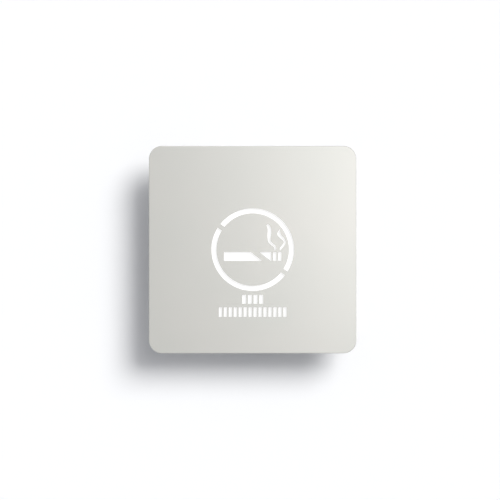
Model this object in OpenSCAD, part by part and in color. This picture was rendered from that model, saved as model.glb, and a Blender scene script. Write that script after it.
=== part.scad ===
// Illuminated no smoking sign for a wall: a face plate with the picture cut
// through it, a lit tray behind it, and a base that is screwed to the wall.
// The origin is on the wall, in the middle of the screw pattern. +Z is up and
// the face looks along -Y, so a depth here is a distance out from the wall.

/* [Face plate] */
// Side of the square face plate
plate_w = 150; // [144:1:180]
// Thickness of the face plate
plate_t = 2; // [1.5:0.25:3]
// Radius of the face plate's corners
plate_r = 9.4; // [6:0.2:14]
// Bevel round the front edge of the face plate
plate_bevel = 0.5; // [0.2:0.1:0.8]

/* [Ring] */
// Outer diameter of the ring slot
ring_d = 59.8; // [56:0.2:62]
// Width of the ring slot
ring_slot_w = 3.7; // [2.6:0.1:3.8]
// Width of the two bridges that hold the middle of the ring
bridge_w = 3.3; // [2.4:0.1:5]
// Fall of the line through the two bridges, in degrees
bridge_fall = 35.3; // [32:0.1:42]

/* [Cigarette] */
// Web between the ring and the lower corner of the cigarette's burning end
tip_web = 3.9; // [3:0.1:5]
// Thickness of the cigarette
cigarette_h = 6.3; // [5:0.1:7]
// Distance from the ring's centre down to the cigarette's top edge
cigarette_drop = 1.8; // [1:0.1:3]
// Width of each of the two upright slots at its burning end
tip_slot_w = 2.3; // [1.8:0.1:2.6]
// Width of the webs between those slots
tip_web_w = 1.4; // [1:0.1:1.8]
// Width of the bar that crosses the cigarette
slash_w = 3.9; // [3:0.1:5]
// Fall of the bar, in degrees
slash_fall = 38; // [34:0.5:44]
// How far left of the ring's centre the bar passes
slash_shift = 0.5; // [0:0.1:1.5]
// Web between the cigarette and the foot of each curl of smoke
smoke_gap = 1.4; // [1:0.1:2]
// Inner radius of the ring that the curls of smoke are drawn for
smoke_drawn_r = 26.2; // [25.6:0.1:30]

/* [Slot rows] */
// Web between the ring and the upper row
rows_web = 2.8; // [2:0.1:5]
// Width of the upper row
upper_row_w = 15.1; // [12:0.1:24]
// Height of the upper row's slots
upper_row_h = 6.5; // [5:0.1:7]
// Number of slots in the upper row
upper_row_n = 4; // [2:1:5]
// Distance between the rows
rows_gap = 2.5; // [1.5:0.1:3]
// Width of the lower row
lower_row_w = 49; // [40:0.5:60]
// Height of the lower row's slots
lower_row_h = 7; // [5:0.1:7.5]
// Number of slots in the lower row
lower_row_n = 14; // [10:1:15]
// Web between neighbouring slots
row_web_w = 1.3; // [1:0.1:1.6]

/* [Diffuser and gasket] */
// Thickness of the diffuser, and of the gasket round it
diffuser_t = 2; // [1.5:0.5:4]
// How far the diffuser laps over the mouth of the tray
diffuser_lap = 3; // [2:0.5:4]
// Clearance between the diffuser and the gasket
diffuser_gap = 0.5; // [0.2:0.1:0.8]

/* [Wall base] */
// Side of the square wall base
base_w = 114; // [113:1:116]
// Thickness of its walls
base_t = 2; // [1.5:0.25:2.5]
// Radius of its outer corners
base_r = 8; // [6:0.5:10]
// Thickness of its floor
floor_t = 2; // [1.5:0.25:3]
// Depth of the relief behind the floor, inside the rim that meets the wall
relief_t = 1.5; // [1.25:0.25:2.5]
// Width of that rim
rim_w = 3; // [2.5:0.25:4]
// Height of the screw bosses on the floor
boss_h = 2; // [1.5:0.25:2.25]
// Room for the driver and the terminal block, from the floor to the tray
gear_depth = 13.5; // [13:0.5:20]
// Distance between the wall screws, each way
wall_screw_pitch = 88; // [84:1:92]
// Length of a wall screw slot
wall_slot_l = 9; // [7:0.5:9.5]
// Distance between the flush box screws
box_screw_pitch = 60.3; // [58:0.1:62]
// Length of a flush box screw slot
box_slot_l = 10; // [8:0.5:11]
// Width of every screw slot
slot_w = 4.6; // [4.2:0.1:5]
// Width of the pad round every screw slot
pad_w = 2.5; // [2:0.25:3]

/* [Light tray] */
// Thickness of the tray's sheet
tray_t = 1.5; // [1:0.25:2]
// Inside depth of the tray, from its floor to its mouth
tray_depth = 10.5; // [10:0.5:16]
// Clearance between the tray and the base, each side
tray_gap = 1; // [0.9:0.1:1.5]
// How far the flange reaches past the base, each side
flange_reach = 6.5; // [6:0.25:7]
// Distance from the flange's edge in to a stud
stud_inset = 5; // [4.5:0.25:5.25]
// Distance from the base's rim back to the hooks and locking screws
lock_inset = 3.4; // [3.2:0.1:3.8]
// Distance of a hook or a locking screw from the middle
lock_x = 30; // [24:1:36]

/* [Lamp board] */
// Thickness of the heat pad
pad_t = 0.5; // [0.3:0.1:1]
// Thickness of the circuit board
board_t = 1.6; // [1:0.2:2]
// Clearance between the board and the tray's walls
board_gap = 3.5; // [2.5:0.25:4]
// Distance from the board's edge in to the middles of the outer lamps
led_edge = 7; // [6.5:0.25:8]
// Lamps in each row and column
led_n = 8; // [4:2:8]

/* [Driver] */
// Length of the driver's case
driver_l = 64; // [60:1:66]
// Width of the driver's case
driver_w = 30; // [26:1:32]
// Height of the driver's case
driver_h = 11; // [9:0.5:12.5]
// Distance from the middle of the sign down to the middle of the driver
driver_drop = 30; // [28:0.5:31]

/* [Terminal block] */
// Distance between its poles
pole_pitch = 10; // [9.5:0.1:10.5]
// Length of each pole, along the wires
pole_l = 18; // [17:0.5:19]
// Height of the terminal block
terminal_h = 10; // [9.5:0.25:11]
// Room for the wires between the terminal block and the base's top wall
wire_room = 8; // [7:0.25:9]

/* [Cable entry] */
// Bore of the grommet that the supply cable passes through
cable_bore = 7.4; // [6:0.1:8]
// Diameter of the hole in the base that the grommet sits in
entry_d = 14; // [13:0.5:16]
// Distance from the saddle up to the terminal block
saddle_gap = 5.5; // [4:0.5:7]
// Width of the saddle, along the cable
saddle_w = 7; // [5:0.5:8]

/* [Screws] */
// Thread diameter of the studs and of all screws but the earth screw
screw_d = 3; // [2.6:0.1:3]
// Thread diameter of the earth screw
earth_screw_d = 4; // [3.5:0.1:4]
// Extra diameter of a hole that a screw passes through
pass_gap = 0.4; // [0.3:0.05:0.6]
// Extra diameter of a hole that a screw bites in
thread_gap = 0.1; // [0.06:0.02:0.12]

/* [Hidden] */
$fn = 64;
// Cutters reach this far past the faces that they cut
over = 1;

// Depths out from the wall, from the base's floor to the front of the sign
floor_d = relief_t + floor_t;
tray_d = floor_d + gear_depth;
tray_floor_d = tray_d + tray_t;
board_d = tray_floor_d + pad_t;
board_front_d = board_d + board_t;
mouth_d = tray_floor_d + tray_depth;
flange_d = mouth_d - tray_t;
plate_d = mouth_d + diffuser_t;
boss_d = floor_d + boss_h;
lock_d = flange_d - lock_inset;

// Widths and corners of the parts that nest in each other
base_in = base_w - 2 * base_t;
base_in_r = base_r - base_t;
tray_w = base_in - 2 * tray_gap;
tray_r = base_in_r - tray_gap;
tray_in = tray_w - 2 * tray_t;
tray_in_r = max(tray_r - tray_t, 0.5);
flange_w = base_w + 2 * flange_reach;
flange_r = base_r + 1;
diffuser_w = tray_in + 2 * diffuser_lap;
diffuser_r = tray_in_r + diffuser_lap;
window_w = diffuser_w + 2 * diffuser_gap;
window_r = diffuser_r + diffuser_gap;
stud_x = flange_w / 2 - stud_inset;

// Picture: the cigarette and the curls of smoke grow with the ring
ring_in_r = ring_d / 2 - ring_slot_w;
rows_drop = ring_d / 2 + rows_web;
cigarette_l = 2 * sqrt((ring_in_r - tip_web) ^ 2 - (cigarette_drop + cigarette_h) ^ 2);
tip_slot_x = [
    cigarette_l / 2 - 1.5 * tip_slot_w - tip_web_w,
    cigarette_l / 2 - 0.5 * tip_slot_w
];
curl_foot_z = smoke_gap - cigarette_drop;
smoke_scale = ring_in_r / smoke_drawn_r;

// Fasteners
pass_r = (screw_d + pass_gap) / 2;
bite_r = (screw_d + thread_gap) / 2;
screw_r = screw_d / 2;
head_r = 0.93 * screw_d;
head_h = 0.62 * screw_d;
washer_t = 0.5;
washer_rim = 2;
washer_r = screw_r + washer_rim;
nut_h = 0.8 * screw_d;
nut_flats = 1.83 * screw_d;
weld_fillet = 0.5;
weld_foot_r = screw_r + weld_fillet;
weld_foot_t = 0.7;
stud_end = 1.5;
stud_l = diffuser_t + tray_t + washer_t + nut_h + stud_end;
boss_wall = 2;
boss_r = screw_r + boss_wall;
bite_web = 0.5;
bite_l = boss_h + floor_t - bite_web;

// Lamp board: places are in cells, which lie between four lamps
board_w = tray_in - 2 * board_gap;
led_pitch = (board_w - 2 * led_edge) / (led_n - 1);
board_screw_x = (led_n / 2 - 1) * led_pitch;
lead_hole_x = board_screw_x;
lead_hole_z = led_n < 6 ? -led_pitch / 2 : -led_pitch;
led_w = 3.5;
led_h = 2.8;
led_t = 0.7;
led_window_r = 1.1;
led_window_t = 0.1;
resistor_l = 3.2;
resistor_w = 1.6;
resistor_t = 0.6;
resistor_inset = 2.5;
connector_w = 7;
connector_l = 6.4;
connector_h = 4.2;
connector_wire_x = 1.1;
connector_wire_h = 2.2;
connector_key_w = 1.6;
connector_key_h = 2.2;
dc_lead_r = 0.75;
lead_gap = 0.1;
dc_hole_r = dc_lead_r + lead_gap;

// Grommet in the tray's floor
tray_hole_r = 3.2;
tray_grommet_bore_r = 2;
tray_grommet_lip_r = 4.5;
tray_grommet_lip_t = 0.9;
board_hole_gap = 0.4;
board_hole_r = tray_grommet_lip_r + board_hole_gap;

// Hooks and locks between the tray and the base
pin_head_t = 1;
pin_head_rim = 1;
pin_head_r = screw_r + pin_head_rim;
insert_wall = 1;
insert_r = screw_r + insert_wall;
insert_lip_rim = 0.6;
insert_lip_r = insert_r + insert_lip_rim;
insert_lip_t = 0.7;
insert_l = 6;
lock_bite = 4;
lock_screw_l = base_t + tray_gap + lock_bite;

// Cable entry
grommet_lip_rim = 3;
grommet_lip_r = entry_d / 2 + grommet_lip_rim;
grommet_lip_t = relief_t - 0.2;
grommet_nose_l = 4;
grommet_wall = 1.6;
grommet_nose_r = cable_bore / 2 + grommet_wall;
cable_gap = 0.4;
saddle_in_r = cable_bore / 2 + cable_gap;
saddle_t = 2;
saddle_lift = 1.9;
saddle_centre_d = boss_d + saddle_lift;
saddle_screw_x = saddle_in_r + saddle_t + boss_r;

// Terminal block
pole_n = 3;
pole_edge = 1;
terminal_w = pole_n * pole_pitch + 2 * pole_edge;
terminal_z = base_in / 2 - wire_room - pole_l / 2;
saddle_rise = terminal_z - pole_l / 2 - saddle_gap - saddle_w / 2;
tube_r = 2.5;
tube_bore_r = 1.6;
tube_inset = 1;
tube_l = pole_l - 2 * tube_inset;
barrel_wall = 1.6;
barrel_r = tube_r + barrel_wall;
tube_d = boss_d + barrel_r;
tower_r = 3;
clamp_z = pole_l / 4;
clamp_r = 1.25;
clamp_head_r = 1.9;
clamp_head_h = 1.8;
clamp_recess = 0.5;
ac_lead_r = 0.9;
clamp_l = terminal_h + boss_d - clamp_recess - tube_d - ac_lead_r - lead_gap;
fixing_r = 1.3;
fixing_head_r = 1.9;
fixing_head_h = 1.2;
fixing_base_h = 5.5;

// Driver
driver_r = 2.5;
ear_l = 8;
ear_w = 9;
ear_t = 2.5;
ear_drop = 7;
ear_screw_x = driver_l / 2 + ear_l - ear_w / 2;
lead_rise = 8;
lead_step = 4.5;
driver_lead_d = floor_d + driver_h / 2;
driver_socket = 1.5;
nozzle_l = 1.2;
nozzle_r = 1.7;
seam_w = 0.5;
seam_depth = 0.4;

// Earth point
earth_step = 12;
earth_fall = 14;
earth_x = terminal_w / 2 + earth_step;
earth_z = terminal_z - earth_fall;
earth_r = earth_screw_d / 2;
earth_boss_wall = 2.2;
earth_boss_r = earth_r + earth_boss_wall;
earth_head_rim = 1.3;
earth_head_r = earth_r + earth_head_rim;
earth_head_h = 2;
lug_t = 0.8;
lug_rim = 2;
lug_r = earth_r + lug_rim;
crimp_r = 1.6;
crimp_l = 6;
crimp_gap = 0.6;

// Curls of smoke: [across, up, width], from the foot up, measured from the
// middle of the slot below
left_curl = [
    [0.2, 0, 0.8], [0.3, 1.5, 1.3], [-0.3, 3, 1.6], [-2.2, 4.5, 1.8], [-3.8, 6.5, 1.9],
    [-4.1, 9, 2.2], [-3.9, 12, 2.6], [-3.8, 15, 2.5], [-4.4, 17, 2.3], [-4.9, 17.8, 2]
];
right_curl = [
    [0.4, 0, 0.9], [0.7, 1.3, 1.4], [2.1, 2.9, 1.6], [3.3, 4.6, 1.5], [3.5, 6.3, 1.5],
    [2.4, 8.1, 1.8], [0.6, 9.8, 2.1], [-0.6, 11.6, 2.5], [-0.5, 13.3, 1.7], [-0.1, 15, 0.2]
];
// Steps along a curl between two of its points
curl_steps = 5;

// Routes of the leads inside, as [across, depth, up]. Each stretch is a list of
// steps chosen by hand, taken from the piece or the wall that it follows
run_gap = 2.2;
run_x = base_in / 2 - run_gap;
block_z = terminal_z + pole_l / 2;
case_x = driver_l / 2;
upper_z = -driver_drop + lead_rise;
lower_z = upper_z - lead_step;
outer_d = tube_d + 1.2;
inner_d = tube_d - 1.2;
swing_gap = 4;
swing_x = max(lead_hole_x, case_x + swing_gap);

// Steps added to a start, one by one
function from(start, steps) = [for (s = steps) start + s];

// Round the base's upper left corner, at depth d
function corner_run(d) = from([-run_x, d, run_x], [
    [7.8, 0, 0], [3.3, 0, -1.3], [0.8, 0, -4.3], [0, 0, -8.8]
]);

brown_route = concat(
    from([-pole_pitch, tube_d, block_z], [[0, 0, -5], [0, 0, 1]]),
    from([-pole_pitch, outer_d, run_x], [[-1, -1, -1.8], [-4, -0.2, -0.1], [-8, 0, 0]]),
    corner_run(outer_d),
    from([-run_x, driver_lead_d, upper_z], [
        [0, outer_d - driver_lead_d, 11], [0.8, 1.5, 6], [3.3, 0.8, 2], [7.8, 0, 0]
    ]),
    from([-case_x, driver_lead_d, upper_z], [[-1.5, 0, 0], [1, 0, 0]])
);
blue_route = concat(
    from([0, tube_d, block_z], [[0, 0, -5], [0, 0, 1]]),
    from([0, inner_d, run_x], [[-1, 0.8, -1.8], [-4, 0.2, -0.1], [-8, 0, 0]]),
    corner_run(inner_d),
    from([-run_x, driver_lead_d, lower_z], [
        [0, inner_d - driver_lead_d, 10.5], [0.8, -0.4, 5.5], [3.3, -0.2, 1.5], [7.8, 0, 0]
    ]),
    from([-case_x, driver_lead_d, lower_z], [[-1.5, 0, 0], [1, 0, 0]])
);
earth_route = concat(
    from([pole_pitch, tube_d, block_z], [[0, 0, -5], [0, 0, 1], [1.5, -0.1, 4], [5, -0.1, 5]]),
    from([earth_x, boss_d + crimp_r, run_x], [[-8, 2.1, -1.8], [-3.5, 1.5, -5.3], [-0.5, 0.5, -10.3]]),
    from([earth_x, boss_d + crimp_r, earth_z], [[0, 0, 13], [0, 0, 6.5]])
);

// Through the grommet in the tray's floor and along the board into its connector
function board_run(x) = concat(
    from([lead_hole_x + x, tray_d, lead_hole_z], [[0, -1, 0]]),
    from([lead_hole_x + x, board_front_d, lead_hole_z], [
        [0, -0.1, 0], [0, 1.4, 0.7], [0, 2.1, 2.5], [0, connector_wire_h, 5]
    ]),
    [[lead_hole_x + x, board_front_d + connector_wire_h, -connector_l / 4]]
);

red_route = concat(
    from([case_x, driver_lead_d, upper_z], [[-1, 0, 0], [1, 0, 0], [3, 0.3, 1.2], [3.5, 1, 4]]),
    from([lead_hole_x, tray_d, lead_hole_z], [[-0.7, -5.5, -2.5], [-connector_wire_x, -3, -0.6]]),
    board_run(-connector_wire_x)
);
black_route = concat(
    from([case_x, driver_lead_d, lower_z], [[-1, 0, 0], [3, 0, 0], [6, 0.3, 1.5], [7.3, 1, 5.5]]),
    from([swing_x, tray_d, lead_hole_z], [[2.6, -5.5, -4.5]]),
    from([lead_hole_x, tray_d, lead_hole_z], [[1.2, -3, -1]]),
    board_run(connector_wire_x)
);
lead_sides = 8;

// Shared shapes

// Raises an outline, drawn as it is seen from the front, from depth d
module slab(d, t) {
    translate([0, -d, 0]) rotate([90, 0, 0]) linear_extrude(t) children();
}

// A round bar that points out from the wall
module peg(x, z, d, t, r) {
    translate([x, -d, z]) rotate([90, 0, 0]) cylinder(h = t, r = r);
}

// A round bar that points up
module post(x, d, z, h, r) {
    translate([x, -d, z]) cylinder(h = h, r = r);
}

// A turned piece that points out from the wall: its outline is [radius, depth]
module turned(x, z, outline) {
    translate([x, 0, z]) rotate([90, 0, 0]) rotate_extrude() polygon(outline);
}

module rounded_box(w, h, r) {
    square([w, h - 2 * r], center = true);
    square([w - 2 * r, h], center = true);
    for (x = [-1, 1], y = [-1, 1]) {
        translate([x * (w / 2 - r), y * (h / 2 - r)]) circle(r);
    }
}

module rounded_square(w, r) {
    rounded_box(w, w, r);
}

// A level slot with round ends
module slot(length, width) {
    square([length - width, width], center = true);
    for (x = [-1, 1]) {
        translate([x * (length - width) / 2, 0]) circle(d = width);
    }
}

module at_corners(x) {
    for (i = [-1, 1], j = [-1, 1]) translate([i * x, 0, j * x]) children();
}

module at_sides(x) {
    for (i = [-1, 1]) translate([i * x, 0, 0]) children();
}

// A pan-head screw: its head sits on depth d and its thread runs back to the wall
module pan_screw(x, z, d, length) {
    difference() {
        union() {
            peg(x, z, d - length, length, screw_r);
            turned(x, z, [
                [0, d], [head_r, d], [head_r, d + 0.6 * head_h],
                [0.75 * head_r, d + head_h], [0, d + head_h]
            ]);
        }
        for (a = [0, 90]) {
            translate([x, -d - head_h, z]) rotate([0, a, 0])
                cube([1.3 * head_r, head_h, 0.3 * head_r], center = true);
        }
    }
}

// Swept leads

function unit(v) = v / norm(v);

// Turns [across, depth, up] into a place in the part's own frame
function placed(p) = [p[0], -p[1], p[2]];

// Direction of a route at one of its points
function heading(p, i) = unit(p[min(i + 1, len(p) - 1)] - p[max(i - 1, 0)]);

// A side direction at each point, carried along the route without twist
function sides(p, i = 0, n = [0.3, 0.5, 0.8]) =
    i == len(p) ? [] :
    let (t = heading(p, i), m = unit(n - (n * t) * t))
    concat([m], sides(p, i + 1, m));

module lead(route, r) {
    p = [for (q = route) placed(q)];
    n = sides(p);
    k = lead_sides;
    rings = len(p);
    points = [
        for (i = [0 : rings - 1], j = [0 : k - 1])
            let (a = 360 * j / k, b = cross(heading(p, i), n[i]))
            p[i] + r * (cos(a) * n[i] + sin(a) * b)
    ];
    walls = [
        for (i = [0 : rings - 2], j = [0 : k - 1], upper = [0, 1])
            let (a = i * k + j, b = i * k + (j + 1) % k)
            upper == 0 ? [a, a + k, b] : [b, a + k, b + k]
    ];
    ends = [
        [for (j = [0 : k - 1]) j],
        [for (j = [k - 1 : -1 : 0]) (rings - 1) * k + j]
    ];
    polyhedron(points, concat(walls, ends));
}

// Curls of smoke

// Point at t between b and c on the smooth curve through a, b, c and d
function curved(a, b, c, d, t) =
    0.5 * (2 * b + (c - a) * t + (2 * a - 5 * b + 4 * c - d) * t * t
    + (3 * b - a - 3 * c + d) * t * t * t);

function curl_points(p) = [
    for (i = [0 : len(p) - 2], s = [0 : curl_steps - 1])
        curved(p[max(i - 1, 0)], p[i], p[i + 1], p[min(i + 2, len(p) - 1)], s / curl_steps),
    p[len(p) - 1]
];

// Point beside a curl's middle line, half of its width away
function beside(p, i, side) =
    let (a = p[max(i - 1, 0)], b = p[min(i + 1, len(p) - 1)], t = unit([b[0] - a[0], b[1] - a[1]]))
    [p[i][0] - side * t[1] * p[i][2] / 2, p[i][1] + side * t[0] * p[i][2] / 2];

module curl(p) {
    line = curl_points(p);
    last = len(line) - 1;
    polygon(concat(
        [for (i = [0 : last]) beside(line, i, 1)],
        [for (i = [last : -1 : 0]) beside(line, i, -1)]
    ));
    translate([line[last][0], line[last][1]]) circle(d = line[last][2]);
}

// Cut-outs of the face plate, as they are seen from the front

module ring_slots() {
    difference() {
        circle(d = ring_d);
        circle(d = ring_d - 2 * ring_slot_w);
        rotate(-bridge_fall) square([2 * ring_d, bridge_w], center = true);
    }
}

module cigarette() {
    body_end = tip_slot_x[0] - tip_slot_w / 2 - tip_web_w;
    translate([0, -cigarette_drop - cigarette_h]) {
        difference() {
            translate([-cigarette_l / 2, 0]) square([body_end + cigarette_l / 2, cigarette_h]);
            translate([-slash_shift, cigarette_drop + cigarette_h]) rotate(-slash_fall)
                square([2 * cigarette_l, slash_w], center = true);
        }
        for (x = tip_slot_x) translate([x - tip_slot_w / 2, 0]) square([tip_slot_w, cigarette_h]);
    }
}

module smoke() {
    translate([tip_slot_x[0], curl_foot_z]) scale(smoke_scale) curl(left_curl);
    translate([tip_slot_x[1], curl_foot_z]) scale(smoke_scale) curl(right_curl);
}

// A level row of plain upright slots, hung from the height z
module slot_row(w, h, n, z) {
    slot_size = (w - (n - 1) * row_web_w) / n;
    for (i = [0 : n - 1]) {
        translate([-w / 2 + i * (slot_size + row_web_w), z - h]) square([slot_size, h]);
    }
}

module cut_outs() {
    ring_slots();
    cigarette();
    smoke();
    slot_row(upper_row_w, upper_row_h, upper_row_n, -rows_drop);
    slot_row(lower_row_w, lower_row_h, lower_row_n, -rows_drop - upper_row_h - rows_gap);
}

// Cutter for the bevel round the front edge of a plate that is t thick
module bevel_cutter(w, r, t, b) {
    outline = [[r - b - over, t + over], [r + over, t + over], [r + over, t - b - over]];
    straight = w - 2 * r;
    for (a = [0 : 90 : 270]) {
        rotate(a) translate([straight / 2, straight / 2, 0]) {
            rotate([90, 0, 0]) linear_extrude(straight) polygon(outline);
            rotate_extrude(angle = 90) polygon(outline);
        }
    }
}

// Front

module face_plate() {
    color([0.84, 0.84, 0.82])
    difference() {
        slab(plate_d, plate_t) rounded_square(plate_w, plate_r);
        slab(plate_d - over, plate_t + 2 * over) cut_outs();
        translate([0, -plate_d, 0]) rotate([90, 0, 0])
            bevel_cutter(plate_w, plate_r, plate_t, plate_bevel);
    }
}

module weld_studs() {
    color([0.72, 0.72, 0.7])
    at_corners(stud_x) {
        peg(0, 0, plate_d - weld_foot_t, weld_foot_t, weld_foot_r);
        peg(0, 0, plate_d - stud_l, stud_l, screw_r);
    }
}

module face_gasket() {
    color([0.12, 0.12, 0.12])
    difference() {
        slab(mouth_d, diffuser_t) rounded_square(flange_w, flange_r);
        slab(mouth_d - over, diffuser_t + 2 * over) rounded_square(window_w, window_r);
        at_corners(stud_x) peg(0, 0, mouth_d - over, diffuser_t + 2 * over, weld_foot_r + 0.3);
    }
}

module diffuser() {
    color([0.97, 0.97, 0.95])
    slab(mouth_d, diffuser_t) rounded_square(diffuser_w, diffuser_r);
}

module light_tray() {
    color([0.93, 0.93, 0.92])
    difference() {
        union() {
            slab(tray_d, tray_t + tray_depth) rounded_square(tray_w, tray_r);
            slab(flange_d, tray_t) rounded_square(flange_w, flange_r);
        }
        slab(tray_floor_d, tray_depth + over) rounded_square(tray_in, tray_in_r);
        at_corners(stud_x) peg(0, 0, flange_d - over, tray_t + 2 * over, pass_r);
        at_corners(board_screw_x) peg(0, 0, tray_d - over, tray_t + 2 * over, bite_r);
        peg(lead_hole_x, lead_hole_z, tray_d - over, tray_t + 2 * over, tray_hole_r);
        at_sides(lock_x) post(0, lock_d, tray_in / 2 - over, tray_t + 2 * over, bite_r);
        at_sides(lock_x) post(0, lock_d, -tray_w / 2 - over, tray_t + 2 * over, insert_r);
    }
}

module stud_washers() {
    color([0.75, 0.75, 0.74])
    at_corners(stud_x) difference() {
        peg(0, 0, flange_d - washer_t, washer_t, washer_r);
        peg(0, 0, flange_d - washer_t - over, washer_t + 2 * over, pass_r);
    }
}

module stud_nuts() {
    color([0.75, 0.75, 0.74])
    at_corners(stud_x) difference() {
        translate([0, washer_t - flange_d + nut_h, 0]) rotate([90, 0, 0])
            cylinder(h = nut_h, d = nut_flats / cos(30), $fn = 6);
        peg(0, 0, flange_d - washer_t - nut_h - over, nut_h + 2 * over, bite_r);
    }
}

// Lamp board

module board_outline() {
    difference() {
        rounded_square(board_w, 2);
        for (i = [-1, 1], j = [-1, 1]) {
            translate([i * board_screw_x, j * board_screw_x]) circle(pass_r);
        }
        translate([lead_hole_x, lead_hole_z]) circle(board_hole_r);
    }
}

module thermal_pad() {
    color([0.6, 0.62, 0.66])
    slab(tray_floor_d, pad_t) board_outline();
}

module led_board() {
    color([0.95, 0.95, 0.93])
    slab(board_d, board_t) board_outline();
}

module leds() {
    color([0.98, 0.93, 0.6])
    for (i = [0 : led_n - 1], j = [0 : led_n - 1]) {
        translate([(i - (led_n - 1) / 2) * led_pitch, 0, (j - (led_n - 1) / 2) * led_pitch]) {
            slab(board_front_d, led_t) square([led_w, led_h], center = true);
            peg(0, 0, board_front_d + led_t, led_window_t, led_window_r);
        }
    }
}

module resistors() {
    color([0.15, 0.15, 0.16])
    for (i = [0 : led_n - 1]) {
        translate([(i - (led_n - 1) / 2) * led_pitch, 0, board_w / 2 - resistor_inset])
            slab(board_front_d, resistor_t) square([resistor_l, resistor_w], center = true);
    }
}

module board_connector() {
    color([0.96, 0.96, 0.94])
    difference() {
        translate([lead_hole_x, 0, 0]) {
            slab(board_front_d, connector_h) square([connector_w, connector_l], center = true);
        }
        for (x = [-1, 1]) {
            post(lead_hole_x + x * connector_wire_x, board_front_d + connector_wire_h,
                -connector_l / 2 - over, connector_l / 2 + over, dc_hole_r);
            translate([lead_hole_x + x * connector_w / 4, -board_front_d - connector_h, 1])
                cube([connector_key_w, 1, connector_key_h], center = true);
        }
    }
}

module board_screws() {
    color([0.78, 0.78, 0.77])
    at_corners(board_screw_x) pan_screw(0, 0, board_front_d, board_t + pad_t + tray_t + 1);
}

module tray_grommet() {
    color([0.13, 0.13, 0.13])
    turned(lead_hole_x, lead_hole_z, [
        [tray_grommet_bore_r, tray_d - tray_grommet_lip_t],
        [tray_grommet_lip_r, tray_d - tray_grommet_lip_t],
        [tray_grommet_lip_r, tray_d],
        [tray_hole_r, tray_d],
        [tray_hole_r, tray_floor_d],
        [tray_grommet_lip_r, tray_floor_d],
        [tray_grommet_lip_r, tray_floor_d + tray_grommet_lip_t],
        [tray_grommet_bore_r, tray_floor_d + tray_grommet_lip_t]
    ]);
}

// Hooks and locks

module hanger_pins() {
    color([0.72, 0.72, 0.7])
    at_sides(lock_x) {
        post(0, lock_d, tray_in / 2 - pin_head_t, pin_head_t, pin_head_r);
        post(0, lock_d, tray_in / 2, (base_w - tray_in) / 2, screw_r);
    }
}

module lock_inserts() {
    color([0.8, 0.78, 0.7])
    at_sides(lock_x) difference() {
        union() {
            post(0, lock_d, -tray_w / 2 - insert_lip_t, insert_lip_t, insert_lip_r);
            post(0, lock_d, -tray_w / 2, insert_l, insert_r);
        }
        post(0, lock_d, -tray_w / 2 - insert_lip_t - over, insert_l + 2 * over, bite_r);
    }
}

module lock_screws() {
    color([0.75, 0.75, 0.74])
    at_sides(lock_x) difference() {
        union() {
            post(0, lock_d, -base_w / 2, lock_screw_l, screw_r);
            translate([0, -lock_d, -base_w / 2 - head_h]) rotate_extrude() polygon([
                [0, 0], [0.75 * head_r, 0], [head_r, 0.4 * head_h], [head_r, head_h], [0, head_h]
            ]);
        }
        translate([0, -lock_d, -base_w / 2 - head_h - over])
            cylinder(h = over + 0.6 * head_h, d = 0.66 * screw_d / cos(30), $fn = 6);
    }
}

// Base

module screw_slots(grow) {
    for (i = [-1, 1], j = [-1, 1]) {
        translate([i * wall_screw_pitch / 2, j * wall_screw_pitch / 2])
            slot(wall_slot_l + 2 * grow, slot_w + 2 * grow);
    }
    for (i = [-1, 1]) {
        translate([i * box_screw_pitch / 2, 0]) slot(box_slot_l + 2 * grow, slot_w + 2 * grow);
    }
}

module boss(x, z, r) {
    peg(x, z, floor_d, boss_h, r);
}

module blind_hole(x, z, r) {
    peg(x, z, boss_d - bite_l, bite_l + over, r);
}

module wall_base() {
    color([0.78, 0.79, 0.8])
    difference() {
        union() {
            difference() {
                slab(0, flange_d) rounded_square(base_w, base_r);
                slab(-over, relief_t + over) rounded_square(base_w - 2 * rim_w, base_r - rim_w);
                slab(floor_d, flange_d) rounded_square(base_in, base_in_r);
            }
            slab(0, relief_t) screw_slots(pad_w);
            for (i = [-1, 1]) {
                boss(i * ear_screw_x, -driver_drop - ear_drop, boss_r);
                boss(i * saddle_screw_x, saddle_rise, boss_r);
            }
            boss(earth_x, earth_z, earth_boss_r);
            slab(floor_d, boss_h) translate([0, terminal_z])
                rounded_box(terminal_w, pole_l, 1.5);
        }
        slab(-over, floor_d + 2 * over) screw_slots(0);
        peg(0, 0, -over, floor_d + 2 * over, entry_d / 2);
        for (i = [-1, 1]) {
            blind_hole(i * ear_screw_x, -driver_drop - ear_drop, bite_r);
            blind_hole(i * saddle_screw_x, saddle_rise, bite_r);
            blind_hole(i * pole_pitch / 2, terminal_z, fixing_r + thread_gap / 2);
            post(i * lock_x, lock_d, base_in / 2 - over, base_t + 2 * over, pass_r);
            post(i * lock_x, lock_d, -base_w / 2 - over, base_t + 2 * over, pass_r);
        }
        blind_hole(earth_x, earth_z, earth_r + thread_gap / 2);
    }
}

module cable_grommet() {
    color([0.13, 0.13, 0.13])
    turned(0, 0, [
        [cable_bore / 2, relief_t - grommet_lip_t],
        [grommet_lip_r, relief_t - grommet_lip_t],
        [grommet_lip_r, relief_t],
        [entry_d / 2, relief_t],
        [entry_d / 2, floor_d],
        [grommet_lip_r, floor_d],
        [grommet_lip_r, floor_d + grommet_lip_t],
        [grommet_nose_r + 1, floor_d + grommet_lip_t],
        [grommet_nose_r, floor_d + grommet_nose_l],
        [cable_bore / 2, floor_d + grommet_nose_l]
    ]);
}

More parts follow.
